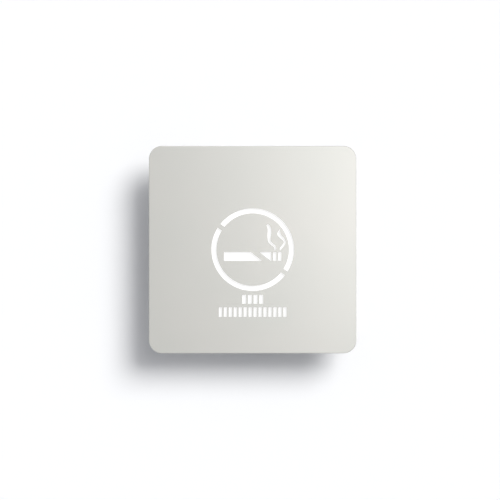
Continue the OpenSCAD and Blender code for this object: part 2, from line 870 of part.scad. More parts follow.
// The saddle's outline is drawn as it is seen from above, then raised along Z
module cable_saddle() {
    foot_end = saddle_screw_x + boss_r;
    out_r = saddle_in_r + saddle_t;
    color([0.85, 0.85, 0.84])
    translate([0, 0, saddle_rise])
    difference() {
        translate([0, 0, -saddle_w / 2]) linear_extrude(saddle_w) difference() {
            union() {
                translate([0, -saddle_centre_d]) circle(out_r);
                translate([-out_r, -saddle_centre_d]) square([2 * out_r, saddle_centre_d - boss_d]);
                translate([-foot_end, -boss_d - saddle_t]) square([2 * foot_end, saddle_t]);
            }
            translate([0, -saddle_centre_d]) circle(saddle_in_r);
            translate([-saddle_in_r, -saddle_centre_d]) square([2 * saddle_in_r, saddle_centre_d]);
            translate([-foot_end, -boss_d]) square([2 * foot_end, boss_d + out_r]);
        }
        at_sides(saddle_screw_x) peg(0, 0, boss_d - over, saddle_t + 2 * over, pass_r);
    }
}

module saddle_screws() {
    color([0.78, 0.78, 0.77])
    at_sides(saddle_screw_x) pan_screw(0, saddle_rise, boss_d + saddle_t, saddle_t + bite_l - 0.5);
}

// Terminal block

module at_poles() {
    for (i = [0 : pole_n - 1]) {
        translate([(i - (pole_n - 1) / 2) * pole_pitch, 0, terminal_z]) children();
    }
}

module terminal_block() {
    color([0.93, 0.93, 0.9])
    difference() {
        union() {
            slab(boss_d, fixing_base_h) translate([0, terminal_z])
                rounded_box(terminal_w, pole_l, 1);
            at_poles() {
                post(0, tube_d, -pole_l / 2, pole_l, barrel_r);
                for (z = [-1, 1]) peg(0, z * clamp_z, tube_d, boss_d + terminal_h - tube_d, tower_r);
            }
        }
        at_poles() {
            post(0, tube_d, -tube_l / 2, tube_l, tube_r + 0.05);
            post(0, tube_d, -pole_l / 2 - over, pole_l + 2 * over, tube_bore_r + 0.3);
            for (z = [-1, 1]) peg(0, z * clamp_z, tube_d, terminal_h, clamp_head_r + 0.1);
        }
        for (i = [-1, 1]) {
            peg(i * pole_pitch / 2, terminal_z, boss_d - over, terminal_h, fixing_r + 0.2);
            peg(i * pole_pitch / 2, terminal_z, boss_d + fixing_base_h, terminal_h,
                fixing_head_r + 0.1);
        }
    }
}

module terminal_tubes() {
    color([0.8, 0.66, 0.35])
    at_poles() difference() {
        post(0, tube_d, -tube_l / 2, tube_l, tube_r);
        post(0, tube_d, -tube_l / 2 - over, tube_l + 2 * over, tube_bore_r);
        for (z = [-1, 1]) peg(0, z * clamp_z, tube_d, terminal_h, clamp_r + 0.05);
    }
}

module terminal_screws() {
    top_d = boss_d + terminal_h - clamp_recess;
    color([0.75, 0.75, 0.74])
    at_poles() for (z = [-1, 1]) difference() {
        union() {
            peg(0, z * clamp_z, top_d - clamp_l, clamp_l, clamp_r);
            peg(0, z * clamp_z, top_d - clamp_head_h, clamp_head_h, clamp_head_r);
        }
        translate([0, -top_d, z * clamp_z]) cube([2 * clamp_head_r, 1.4, 0.6], center = true);
    }
}

module terminal_fixings() {
    head_d = boss_d + fixing_base_h;
    length = fixing_base_h + bite_l - 0.5;
    color([0.78, 0.78, 0.77])
    for (i = [-1, 1]) {
        peg(i * pole_pitch / 2, terminal_z, head_d - length, length + 0.2, fixing_r);
        turned(i * pole_pitch / 2, terminal_z, [
            [0, head_d], [fixing_head_r, head_d], [0.8 * fixing_head_r, head_d + fixing_head_h],
            [0, head_d + fixing_head_h]
        ]);
    }
}

// Driver

module driver() {
    color([0.2, 0.21, 0.23])
    translate([0, 0, -driver_drop])
    difference() {
        union() {
            slab(floor_d, driver_h) rounded_box(driver_l, driver_w, driver_r);
            slab(boss_d, ear_t) translate([0, -ear_drop])
                rounded_box(driver_l + 2 * ear_l, ear_w, ear_w / 2 - 0.5);
            for (x = [-1, 1], j = [0, 1]) {
                translate([x * driver_l / 2, -driver_lead_d, lead_rise - j * lead_step])
                    rotate([0, x * 90, 0]) cylinder(h = nozzle_l, r = nozzle_r);
            }
        }
        for (x = [-1, 1]) {
            peg(x * ear_screw_x, -ear_drop, floor_d, driver_h, pass_r);
            for (j = [0, 1]) {
                translate([x * (driver_l / 2 - driver_socket), -driver_lead_d,
                    lead_rise - j * lead_step]) rotate([0, x * 90, 0])
                    cylinder(h = driver_socket + nozzle_l + over, r = ac_lead_r + lead_gap);
            }
        }
        slab(floor_d + driver_h - 2, seam_w) difference() {
            rounded_box(driver_l + over, driver_w + over, driver_r);
            rounded_box(driver_l - 2 * seam_depth, driver_w - 2 * seam_depth, driver_r - seam_depth);
        }
    }
}

module driver_screws() {
    color([0.78, 0.78, 0.77])
    at_sides(ear_screw_x)
        pan_screw(0, -driver_drop - ear_drop, boss_d + ear_t, ear_t + bite_l - 0.5);
}

// Earth point and leads

module earth_lug() {
    color([0.8, 0.8, 0.78])
    difference() {
        union() {
            peg(earth_x, earth_z, boss_d, lug_t, lug_r);
            translate([earth_x - crimp_r, -boss_d - lug_t, earth_z])
                cube([2 * crimp_r, lug_t, lug_r + crimp_gap + 1]);
            post(earth_x, boss_d + crimp_r, earth_z + lug_r + crimp_gap, crimp_l, crimp_r);
        }
        peg(earth_x, earth_z, boss_d - over, lug_t + 2 * over, earth_r + 0.1);
        post(earth_x, boss_d + crimp_r, earth_z + lug_r + crimp_gap + 1, crimp_l,
            ac_lead_r + lead_gap);
    }
}

module earth_screw() {
    head_d = boss_d + lug_t;
    color([0.8, 0.66, 0.35])
    difference() {
        union() {
            peg(earth_x, earth_z, head_d - lug_t - bite_l + 0.5, lug_t + bite_l - 0.5, earth_r);
            peg(earth_x, earth_z, head_d, earth_head_h, earth_head_r);
        }
        translate([earth_x, -head_d - earth_head_h, earth_z])
            cube([2 * earth_head_r + over, 1.6, 0.9], center = true);
    }
}

module brown_lead() {
    color([0.4, 0.24, 0.14]) lead(brown_route, ac_lead_r);
}

module blue_lead() {
    color([0.15, 0.35, 0.7]) lead(blue_route, ac_lead_r);
}

module red_lead() {
    color([0.75, 0.12, 0.1]) lead(red_route, dc_lead_r);
}

module black_lead() {
    color([0.1, 0.1, 0.1]) lead(black_route, dc_lead_r);
}

module earth_lead() {
    color([0.45, 0.65, 0.15]) lead(earth_route, ac_lead_r);
}

face_plate();
weld_studs();
face_gasket();
diffuser();
light_tray();
stud_washers();
stud_nuts();
thermal_pad();
led_board();
leds();
resistors();
board_connector();
board_screws();
tray_grommet();
hanger_pins();
lock_inserts();
lock_screws();
wall_base();
cable_grommet();
cable_saddle();
saddle_screws();
terminal_block();
terminal_tubes();
terminal_screws();
terminal_fixings();
driver();
driver_screws();
earth_lug();
earth_screw();
brown_lead();
blue_lead();
red_lead();
black_lead();
earth_lead();
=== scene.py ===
"""Looks of the illuminated no smoking sign: finishes for every piece, threads, nuts and
screw heads, the lamps of its board, its leads, the wall behind it and the light."""
import math

import bpy
import numpy as np
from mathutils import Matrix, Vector


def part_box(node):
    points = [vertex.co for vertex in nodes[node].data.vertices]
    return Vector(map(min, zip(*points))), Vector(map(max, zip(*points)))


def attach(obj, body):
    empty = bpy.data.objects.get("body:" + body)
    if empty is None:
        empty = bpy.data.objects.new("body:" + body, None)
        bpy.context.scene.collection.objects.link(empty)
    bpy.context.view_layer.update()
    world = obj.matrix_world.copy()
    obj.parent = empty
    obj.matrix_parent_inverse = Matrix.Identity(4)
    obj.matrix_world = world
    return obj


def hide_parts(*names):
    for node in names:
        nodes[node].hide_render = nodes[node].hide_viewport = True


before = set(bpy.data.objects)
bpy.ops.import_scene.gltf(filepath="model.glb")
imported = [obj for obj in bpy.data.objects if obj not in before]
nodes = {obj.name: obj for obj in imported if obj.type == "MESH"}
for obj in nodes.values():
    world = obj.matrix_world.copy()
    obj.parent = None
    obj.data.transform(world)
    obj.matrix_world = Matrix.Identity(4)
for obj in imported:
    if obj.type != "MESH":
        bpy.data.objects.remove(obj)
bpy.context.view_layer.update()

MM = 0.001
TURN = 2 * np.pi

# The face plate's place in the photograph, in its 500 by 500 pixels
PHOTO_W = 500
PLATE_PX = 207.5
PLATE_MID_PX = (252.7, 249.6)

# Sizes that the solids share with these pieces
LAMPS = 8
LAMP_W = 3.5 * MM
LAMP_H = 2.8 * MM
WINDOW_R = 1.1 * MM
RESISTOR_L = 3.2 * MM
SCREW_R = 1.48 * MM
NUT_FLATS = 5.49 * MM
NUT_BORE_R = 1.5 * MM
WASHER_R = 3.5 * MM
WASHER_BORE_R = 1.7 * MM
STUD_FOOT_R = 2.0 * MM
LOCK_HEAD_R = 2.79 * MM
LOCK_HEAD_T = 1.86 * MM
MAINS_LEAD_R = 0.9 * MM
LAMP_LEAD_R = 0.75 * MM

# Sizes of the finer detail
PITCH = 0.5 * MM
GROOVE = 0.3 * MM
RESISTOR_CAP = 0.5 * MM
STRIPE_TURN = 60 * MM

# Fineness of the new surfaces: steps round a fastener, and rings in a thread's pitch
ROUND_STEPS = 48
RINGS_PER_PITCH = 8

# Light of the studio. A window has the way its light comes in, half the angle that it
# fills in degrees, and its level on a surface that faces it.
WINDOWS = {
    "low_window": ((0.663, -1, 0.642), 15.6, 0.68),
    "high_window": ((0.423, -1, 0.457), 20.4, 0.175),
}
SHEEN_PLACE, SHEEN_SIZE, SHEEN_LEVEL = (0.58, -1.256, 0.332), 1.18, 0.317
EDGE_AWAY, EDGE_SIZE, EDGE_LEVEL = 2, 1.2, 0.07
REAR_AWAY, REAR_DEPTH, REAR_SIZE, REAR_LEVEL = 1.8, 1.2, 1.2, 0.36
FILL_LEVEL = 0.383


def span(name):
    """Lowest and highest corner of a node, as arrays in metres."""
    low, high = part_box(name)
    return np.array(low), np.array(high)


FACE_MID = (0, float(span("face_plate")[0][1]), 0)
LAMP_PITCH = float(np.ptp(span("leds"), axis=0)[0] - LAMP_W) / (LAMPS - 1)
LAMP_ROW = (np.arange(LAMPS) - (LAMPS - 1) / 2) * LAMP_PITCH


# Materials

WHITE, BLACK = (1, 1, 1, 1), (0, 0, 0, 1)

# Nearly all of a noise lies between these two values
NOISE_RANGE = {"From_Min": 0.3, "From_Max": 0.7}


def linear(hex_colour):
    """Turns an sRGB hex colour into linear red, green, blue and alpha."""
    srgb = np.array([int(hex_colour[i:i + 2], 16) for i in (1, 3, 5)]) / 255
    rgb = np.where(srgb <= 0.04045, srgb / 12.92, ((srgb + 0.055) / 1.055) ** 2.4)
    return (*rgb.tolist(), 1.0)


def add(tree, kind, *values, **named):
    """Adds a node. Values fill its sockets in order. Named ones are settings, or sockets
    with an underscore for each space. A node given as a value is linked from its first
    output, and a socket is linked as it is."""
    made = tree.nodes.new("ShaderNode" + kind)
    settings = {key: value for key, value in named.items() if hasattr(made, key)}
    for key, value in settings.items():
        setattr(made, key, value)
    given = list(zip((socket for socket in made.inputs if socket.enabled), values))
    given += [
        (made.inputs[key.replace("_", " ")], value)
        for key, value in named.items() if key not in settings
    ]
    for socket, value in given:
        if isinstance(value, bpy.types.Node):
            value = next(output for output in value.outputs if output.enabled)
        if isinstance(value, bpy.types.NodeSocket):
            tree.links.new(value, socket)
        else:
            socket.default_value = value
    return made


def finish(name, recipe, *choices):
    """Makes a material of that name. Its recipe takes the node tree and the object's
    coordinates, adds the nodes and returns the shader."""
    made = bpy.data.materials.new(name)
    made.use_nodes = True
    tree = made.node_tree
    tree.nodes.clear()
    place = add(tree, "TexCoord").outputs["Object"]
    add(tree, "OutputMaterial", recipe(tree, place, *choices))
    return made


def mottled(tree, place, size, detail, colour, other):
    """Clouds of a size in metres, and the tone that drifts with them between two colours."""
    clouds = add(tree, "TexNoise", Vector=place, Scale=1 / size, Detail=detail)
    share = add(tree, "MapRange", Value=clouds, **NOISE_RANGE)
    tone = add(tree, "Mix", share, linear(colour), linear(other), data_type="RGBA")
    return clouds, tone


def relief(tree, place, size, detail, height, **under):
    """Grain of a size in metres, and bumps of a height in metres that follow it, on top of
    the bumps under it where their normal is given."""
    grain = add(tree, "TexNoise", Vector=place, Scale=1 / size, Detail=detail)
    return grain, add(tree, "Bump", Height=grain, Distance=height, **under)


def anodised_aluminium(tree, place):
    """Aluminium sheet, bead blasted and clear anodised: a satin silver grey, a little
    warm, with no grain. The blasting leaves fine dimples, drawn three times too coarse,
    and the sheet's crystals let the tone drift a little from place to place."""
    _, tone = mottled(tree, place, 45 * MM, 1.0, "#bbbbb7", "#bdbcb8")
    dimples, blasted = relief(tree, place, 0.6 * MM, 3.0, 0.02 * MM)
    satin = add(tree, "MapRange", Value=dimples, **NOISE_RANGE, To_Min=0.32, To_Max=0.38)
    return add(
        tree, "BsdfPrincipled", Base_Color=tone, Metallic=1.0, Roughness=satin, Normal=blasted,
    )


def opal_acrylic(tree, place):
    """Cast opal acrylic lit from behind. It lets about half of the light through, so by itself it
    is a milky grey. The lamps' light through it is painted on as emission, an even white that is
    painted a little brighter over each lamp of the grid behind it: the product of two cosines."""
    # Painted light: the sheet's emission stands in for the lamps behind it, with painted brighter
    # spots over each lamp.
    turns = add(tree, "VectorMath", place, (TURN / LAMP_PITCH,) * 3, operation="MULTIPLY")
    waves = add(tree, "VectorMath", turns, operation="COSINE")
    split = add(tree, "SeparateXYZ", waves)
    both = add(tree, "Math", split.outputs["X"], split.outputs["Z"], operation="MULTIPLY")
    painted_backlight_glow = add(tree, "MapRange", Value=both, From_Min=-1.0, To_Min=0.75, To_Max=0.79)
    return add(
        tree, "BsdfPrincipled", Base_Color=linear("#9a9a98"), Roughness=0.3, IOR=1.49,
        Emission_Color=linear("#ffffff"), Emission_Strength=painted_backlight_glow,
    )


def powder_coat(tree, place, colour, other, roughness):
    """Satin powder coat, baked on: soft lumps of orange peel, a millimetre and a half
    apart, with the finer grain of the powder between them."""
    _, tone = mottled(tree, place, 30 * MM, 1.0, colour, other)
    _, peel = relief(tree, place, 1.5 * MM, 1.0, 0.1 * MM)
    powder, grain = relief(tree, place, 0.4 * MM, 2.0, 0.01 * MM, Normal=peel)
    low, high = roughness - 0.04, roughness + 0.04
    satin = add(tree, "MapRange", Value=powder, **NOISE_RANGE, To_Min=low, To_Max=high)
    return add(tree, "BsdfPrincipled", Base_Color=tone, Roughness=satin, IOR=1.5, Normal=grain)


def closed_cell_foam(tree, place):
    """Black closed-cell foam: matt, with the skin of cut cell pits under a millimetre wide. Its
    tone is painted shade, darker down in each pit where the bump is lowest.
    """
    pit_depth_and_painted_shade = add(tree, "TexVoronoi", Vector=place, Scale=1 / (0.7 * MM))
    # Painted shade: the tone is darker down in each pit of the foam, where the bump is lowest.
    share = add(tree, "MapRange", Value=pit_depth_and_painted_shade, From_Min=0.1, From_Max=0.6)
    tone = add(tree, "Mix", share, linear("#17171a"), linear("#2a2a2d"), data_type="RGBA")
    pits = add(tree, "Bump", Height=pit_depth_and_painted_shade, Distance=0.2 * MM)
    return add(
        tree, "BsdfPrincipled", Base_Color=tone, Roughness=0.92, Sheen_Weight=0.15, Normal=pits,
    )


def bright_zinc(tree, place):
    """Zinc plating on steel: bright and bluish, with straw-coloured clouds of the bath."""
    clouds, tone = mottled(tree, place, 3 * MM, 3.0, "#c6cad0", "#cfcbbd")
    dull = add(tree, "MapRange", Value=clouds, **NOISE_RANGE, To_Min=0.22, To_Max=0.34)
    _, plated = relief(tree, place, 0.3 * MM, 2.0, 0.004 * MM)
    return add(
        tree, "BsdfPrincipled", Base_Color=tone, Metallic=1.0, Roughness=dull, Normal=plated,
    )


def plain_steel(tree, place):
    """Bare cold-formed steel of studs and pins: grey and slightly dull, with darker
    clouds of oil and of the heat of welding."""
    clouds, tone = mottled(tree, place, 1.2 * MM, 3.0, "#b4b3b0", "#a29f9a")
    dull = add(tree, "MapRange", Value=clouds, **NOISE_RANGE, To_Min=0.3, To_Max=0.46)
    return add(tree, "BsdfPrincipled", Base_Color=tone, Metallic=1.0, Roughness=dull)


def silicone_pad(tree, place):
    """Heat-conducting silicone: blue grey, matt and a little tacky, with filler specks."""
    specks, tone = mottled(tree, place, 0.5 * MM, 4.0, "#8d9299", "#9da1a6")
    rough = add(tree, "Bump", Height=specks, Distance=0.02 * MM)
    return add(tree, "BsdfPrincipled", Base_Color=tone, Roughness=0.7, Normal=rough)


def white_solder_mask(tree, place):
    """White solder mask over copper: broad copper fields show as faint raised blocks
    between the rows of lamps."""
    facing = add(tree, "Mapping", Vector=place, Rotation=(math.pi / 2, 0, 0))
    fields = add(
        tree, "TexBrick", Vector=facing, Scale=1.0, Brick_Width=LAMP_PITCH,
        Row_Height=LAMP_PITCH, Mortar_Size=0.4 * MM, Mortar_Smooth=0.3, Color1=WHITE,
        Color2=WHITE, Mortar=BLACK, offset=0.5,
    )
    tone = add(tree, "Mix", fields, linear("#f0f0ec"), linear("#f5f5f2"), data_type="RGBA")
    raised = add(tree, "Bump", Height=fields, Distance=0.04 * MM)
    return add(tree, "BsdfPrincipled", Base_Color=tone, Roughness=0.3, IOR=1.52, Normal=raised)


def phosphor_lamp(tree, place):
    """Surface-mounted lamp: a white moulded frame round a pool of yellow phosphor under
    clear resin. The distance from the lamp's middle is that from the middle of its cell
    in the grid, where the coordinates wrap round at each pitch."""
    flat = add(tree, "VectorMath", place, (1, 0, 1), operation="MULTIPLY")
    cell = add(tree, "VectorMath", flat, (LAMP_PITCH,) * 3, (0, 0, 0), operation="WRAP")
    middle = (LAMP_PITCH / 2, 0, LAMP_PITCH / 2)
    reach = add(tree, "VectorMath", cell, middle, operation="DISTANCE")
    share = add(tree, "MapRange", Value=reach, From_Min=WINDOW_R, From_Max=1.06 * WINDOW_R)
    tone = add(tree, "Mix", share, linear("#f2d45a"), linear("#f4f3ee"), data_type="RGBA")
    _, resin = relief(tree, place, 0.4 * MM, 2.0, 0.005 * MM)
    return add(tree, "BsdfPrincipled", Base_Color=tone, Roughness=0.2, IOR=1.5, Normal=resin)


def chip_resistor(tree, place):
    """Chip resistor: a black coat between tinned ends, half a millimetre each. Along the
    row, the coordinate wraps round at each pitch, as over the lamps."""
    across = add(tree, "SeparateXYZ", place)
    cell = add(tree, "Math", across, LAMP_PITCH, 0.0, operation="WRAP")
    offset = add(tree, "Math", cell, LAMP_PITCH / 2, operation="SUBTRACT")
    far = add(tree, "Math", offset, operation="ABSOLUTE")
    coat = RESISTOR_L / 2 - RESISTOR_CAP
    share = add(tree, "MapRange", Value=far, From_Min=coat, From_Max=coat + 0.05 * MM)
    tone = add(tree, "Mix", share, linear("#1d1d20"), linear("#c9c8c4"), data_type="RGBA")
    _, glaze = relief(tree, place, 0.3 * MM, 2.0, 0.005 * MM)
    return add(tree, "BsdfPrincipled", Base_Color=tone, Roughness=0.45, Normal=glaze)


def moulded_plastic(tree, place, colour, other, roughness, grain, height):
    """Moulded plastic: slow drift of the pigment, and the fine skin of the mould, whose
    grain and height are in metres. Nylon is milky and waxy, rubber is nearly matt with a
    grey bloom, and the spark-eroded grain of the driver's ABS kills its gloss."""
    _, tone = mottled(tree, place, 8 * MM, 1.0, colour, other)
    spark, mould = relief(tree, place, grain, 2.0, height)
    low, high = roughness - 0.05, roughness + 0.05
    gloss = add(tree, "MapRange", Value=spark, **NOISE_RANGE, To_Min=low, To_Max=high)
    return add(tree, "BsdfPrincipled", Base_Color=tone, Roughness=gloss, IOR=1.5, Normal=mould)


def turned_brass(tree, place):
    """Turned brass: warm yellow metal with the tool's fine rings along the axis."""
    along = add(tree, "Mapping", Vector=place, Scale=(0.1, 0.1, 1.6))
    rings, tone = mottled(tree, along, 0.6 * MM, 2.0, "#d2ad5f", "#c69f52")
    tooled = add(tree, "Bump", Height=rings, Distance=0.005 * MM)
    return add(
        tree, "BsdfPrincipled", Base_Color=tone, Metallic=1.0, Roughness=0.26, Normal=tooled,
    )


def tinned_copper(tree, place):
    """Tin on copper: soft silver with a faint yellow cast, dulled by handling."""
    clouds, tone = mottled(tree, place, 2 * MM, 2.0, "#cbc8bf", "#bdb9ae")
    dull = add(tree, "MapRange", Value=clouds, **NOISE_RANGE, To_Min=0.28, To_Max=0.4)
    return add(tree, "BsdfPrincipled", Base_Color=tone, Metallic=1.0, Roughness=dull)


def drawn_pvc(tree, place, tone):
    """Extruded PVC of a tone: smooth and softly glossy, with the slow waves of drawing."""
    _, drawn = relief(tree, place, 1.2 * MM, 1.0, 0.01 * MM)
    return add(tree, "BsdfPrincipled", Base_Color=tone, Roughness=0.36, IOR=1.53, Normal=drawn)


def plain_pvc(tree, place, colour, other):
    """PVC of one colour, with slow drift of the pigment."""
    return drawn_pvc(tree, place, mottled(tree, place, 4 * MM, 2.0, colour, other)[1])


def striped_pvc(tree, place):
    """PVC of the earth lead: green, with yellow where the lead's own wave is high."""
    wave = add(tree, "Attribute", attribute_name="stripe")
    share = add(tree, "MapRange", Value=wave.outputs["Fac"], From_Min=0.1, From_Max=0.2)
    tone = add(tree, "Mix", share, linear("#3f8f2a"), linear("#e3cf2f"), data_type="RGBA")
    return drawn_pvc(tree, place, tone)


# Surfaces as rings of points


def skin(rings, wrap=False):
    """Closed skin through rings of points, an array (rings, steps, 3). Each ring joins the
    next by pairs of triangles. Wrap joins the last ring to the first, as round a bore.
    Otherwise a fan of triangles closes each end at its ring's middle. Faces are turned
    to point outwards by the sign of the volume, the sum of each triangle's corners'
    triple product."""
    count, steps, _ = rings.shape
    i = np.arange(count if wrap else count - 1)[:, None]
    j = np.arange(steps)[None, :]
    a, b = i * steps + j, i * steps + (j + 1) % steps
    up = (i + 1) % count * steps
    c, d = up + (j + 1) % steps, up + j
    points = rings.reshape(-1, 3)
    triangles = [np.stack(three, -1).reshape(-1, 3) for three in ([a, b, c], [a, c, d])]
    if not wrap:
        first, last = np.arange(steps), (count - 1) * steps + np.arange(steps)
        low, high = len(points), len(points) + 1
        points = np.concatenate([points, rings[[0, -1]].mean(1)])
        triangles.append(np.stack([np.roll(first, -1), first, np.full(steps, low)], -1))
        triangles.append(np.stack([last, np.roll(last, -1), np.full(steps, high)], -1))
    faces = np.concatenate(triangles)
    p = points[faces]
    volume = np.einsum("ij,ij->i", p[:, 0], np.cross(p[:, 1], p[:, 2])).sum()
    return points, faces if volume > 0 else faces[:, ::-1]


def around(steps):
    """Angles of one turn, in even steps."""
    return np.linspace(0, TURN, steps, endpoint=False)


def turned(profile):
    """Rings round the Z axis, one for each (radius, height) of the profile. A radius or a
    height may be a number or an array over the angle, so a ring can be a hexagon."""
    angle = around(ROUND_STEPS)
    radius = np.stack([np.broadcast_to(r, angle.shape) for r, _ in profile])
    height = np.stack([np.broadcast_to(h, angle.shape) for _, h in profile])
    return np.stack([radius * np.cos(angle), radius * np.sin(angle), height], -1)


def hexagon(flats):
    """Radius of a hexagon over the angle: half its flats divided by the cosine of the
    angle from the nearest flat's middle. A corner lies at angle zero."""
    return flats / 2 / np.cos(np.mod(around(ROUND_STEPS), np.pi / 3) - np.pi / 6)


def thread(start, end):
    """Profile of a screw thread from one height to another. Its radius over height and
    angle is the crest's radius less a triangle wave as deep as the groove. The wave
    repeats once for each pitch of height, and moves on by one pitch in a turn, which
    winds it round as a helix. The groove runs out over the last turn at each end."""
    height = np.linspace(start, end, int((end - start) / PITCH * RINGS_PER_PITCH))
    groove = GROOVE * np.clip(np.minimum(height - start, end - height) / PITCH, 0, 1)
    turns = height[:, None] / PITCH - around(ROUND_STEPS) / TURN
    radius = SCREW_R - groove[:, None] * np.abs(np.mod(turns, 1) * 2 - 1)
    return list(zip(radius, height))


def superellipse(sizes, steps=24):
    """Rings for each (width, height, exponent, level): across, the cosine of the angle to
    the power two over the exponent, with its sign, and the sine in the same way. An
    exponent of two is an ellipse, and a high one a rectangle with rounded corners."""
    width, height, exponent, level = np.array(sizes).T[:, :, None]
    cos, sin = np.cos(around(steps)), np.sin(around(steps))
    x = width / 2 * np.sign(cos) * np.abs(cos) ** (2 / exponent)
    y = height / 2 * np.sign(sin) * np.abs(sin) ** (2 / exponent)
    return np.stack([x, y, np.broadcast_to(level, x.shape)], -1)


def placed(shell, across, up, depth):
    """Turns a shell's Z axis to point out from the wall, and moves it to its place."""
    points, faces = shell
    return np.stack([points[:, 0] + across, -points[:, 2] - depth, points[:, 1] + up], -1), faces


def at_corners(shell, reach, depth):
    """Four copies of a shell, at the corners of a square round the sign's middle."""
    return [placed(shell, x, z, depth) for x in (-reach, reach) for z in (-reach, reach)]


def piece(name, shells, material, node):
    """Makes one object of several closed shells, which stands for a CAD node. It is
    smooth but for the edges sharper than 32 degrees."""
    starts = np.cumsum([0] + [len(points) for points, _ in shells])
    points = np.concatenate([points for points, _ in shells])
    faces = np.concatenate([faces + start for (_, faces), start in zip(shells, starts)])
    mesh = bpy.data.meshes.new(name)
    mesh.from_pydata(points.tolist(), [], faces.tolist())
    mesh.polygons.foreach_set("use_smooth", np.ones(len(faces), bool))
    mesh.set_sharp_from_angle(angle=math.radians(32))
    mesh.materials.append(material)
    made = bpy.data.objects.new(name, mesh)
    bpy.context.scene.collection.objects.link(made)
    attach(made, "root")
    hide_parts(node)
    return made


# Fasteners


def threaded_studs(material):
    """Four welded studs: a thread that runs out over the last turn at each end, and a
    flat weld foot at the root, where the stud meets the plate."""
    low, high = span("weld_studs")
    foot_t, edge = 0.7 * MM, 0.1 * MM
    length = high[1] - low[1]
    shank = length - foot_t
    profile = [(SCREW_R - GROOVE, 0), *thread(0, shank)[1:]]
    profile += [(STUD_FOOT_R - edge, shank), (STUD_FOOT_R, shank + edge), (STUD_FOOT_R, length)]
    shells = at_corners(skin(turned(profile)), high[0] - STUD_FOOT_R, -high[1])
    return piece("weld_studs_threaded", shells, material, "weld_studs")


def chamfered_nuts(material):
    """Four hexagon nuts. Each end of a nut is cut by a cone of 30 degrees, so a corner
    ends lower than a flat: the height falls by the tangent of 30 degrees for each step
    of radius past the chamfer's start. The bore has a short countersink at both ends."""
    low, high = span("stud_nuts")
    thick = high[1] - low[1]
    corner = hexagon(NUT_FLATS)
    sink, start = 0.25 * MM, 0.475 * NUT_FLATS
    mouth = NUT_BORE_R + sink
    drop = np.maximum(corner - start, 0) * math.tan(math.radians(30))
    profile = [
        (NUT_BORE_R, sink), (mouth, 0), (start, 0), (corner, drop),
        (corner, thick - drop), (start, thick), (mouth, thick), (NUT_BORE_R, thick - sink),
    ]
    reach = high[0] - NUT_FLATS / math.sqrt(3)
    shells = at_corners(skin(turned(profile), wrap=True), reach, -high[1])
    return piece("stud_nuts_chamfered", shells, material, "stud_nuts")


def pressed_washers(material):
    """Four pressed washers: a flat ring with the rounded rim that the press leaves, a
    quarter circle, whose radius and height go with the sine and cosine of its angle."""
    low, high = span("stud_washers")
    thick, edge = high[1] - low[1], 0.15 * MM
    quarter = np.linspace(0, np.pi / 2, 5)
    rim = zip(WASHER_R - edge + edge * np.sin(quarter), edge - edge * np.cos(quarter))
    profile = [
        (WASHER_BORE_R, edge), (WASHER_BORE_R + edge, 0), *rim,
        (WASHER_R, thick), (WASHER_BORE_R, thick),
    ]
    shells = at_corners(skin(turned(profile), wrap=True), high[0] - WASHER_R, -high[1])
    return piece("stud_washers_pressed", shells, material, "stud_washers")


def button_head_screws(material):
    """Two locking screws from below. The head is a quarter of an ellipse, cut off flat
    round its socket: the radius goes with the sine of an angle, and the height with one
    less its cosine, scaled so that it starts at the flat. The shank above is threaded."""
    low, high = span("lock_screws")
    socket, flat_r, land, edge = 1.1 * MM, 1.4 * MM, 0.2 * MM, 0.1 * MM
    corner = hexagon(2.0 * MM)
    start = math.asin(flat_r / LOCK_HEAD_R)
    dome = np.linspace(start, np.pi / 2, 12)
    dome_h = (LOCK_HEAD_T - land) * (1 - np.cos(dome) / math.cos(start))
    length = high[2] - low[2]
    profile = [
        (corner * 0.9, socket), (corner, socket * 0.9), (corner, edge), (corner + edge, 0),
        *zip(LOCK_HEAD_R * np.sin(dome), dome_h), (LOCK_HEAD_R, LOCK_HEAD_T),
        *thread(LOCK_HEAD_T, length)[:-1], (SCREW_R - GROOVE, length),
    ]
    points, faces = skin(turned(profile))
    depth = (low[1] + high[1]) / 2
    reach = high[0] - LOCK_HEAD_R
    shells = [(points + np.array([x, depth, low[2]]), faces) for x in (-reach, reach)]
    return piece("lock_screws_domed", shells, material, "lock_screws")


# Lamp board


def moulded_lamps(material):
    """Sixty-four lamps: a rounded frame whose rings narrow from a rectangle to the round
    window, and the resin's crown in it, a quarter of an ellipse seen from the side."""
    low, high = span("leds")
    total, crown, inset, sunk = high[1] - low[1], 0.1 * MM, 0.15 * MM, 0.06 * MM
    rim = total - crown
    window = 2 * WINDOW_R
    sizes = [
        (LAMP_W, LAMP_H, 14, 0), (LAMP_W, LAMP_H, 14, rim - inset),
        (LAMP_W - 2 * inset, LAMP_H - 2 * inset, 8, rim), (window + inset, window + inset, 2, rim),
    ]
    sizes += [
        (window * math.sin(t), window * math.sin(t), 2, rim - sunk + (crown + sunk) * math.cos(t))
        for t in np.linspace(np.pi / 2, np.pi / 8, 4)
    ]
    points, faces = skin(superellipse(sizes))
    points[-1, 2] = total
    shells = [placed((points, faces), x, z, -high[1]) for x in LAMP_ROW for z in LAMP_ROW]
    return piece("leds_moulded", shells, material, "leds")


def capped_resistors(material):
    """Eight chip resistors: a flat body between two tinned caps that stand a little
    proud of it, as rectangles with rounded corners along the length."""
    low, high = span("resistors")
    wide, tall, proud = high[2] - low[2], high[1] - low[1], 0.06 * MM
    half = RESISTOR_L / 2
    along = [-half, proud - half, RESISTOR_CAP - half, RESISTOR_CAP + proud - half]
    along += [-x for x in reversed(along)]
    inset = [2 * proud, 0, 0, 2 * proud] * 2
    rings = superellipse([(tall - g, wide - g, 8, x) for g, x in zip(inset, along)], 16)
    shell = skin(np.stack([rings[..., 2], rings[..., 1], rings[..., 0] + tall / 2], -1))
    up = (low[2] + high[2]) / 2
    shells = [placed(shell, x, up, -high[1]) for x in LAMP_ROW]
    return piece("resistors_capped", shells, material, "resistors")


# Leads, along the routes that the solids take, in millimetres

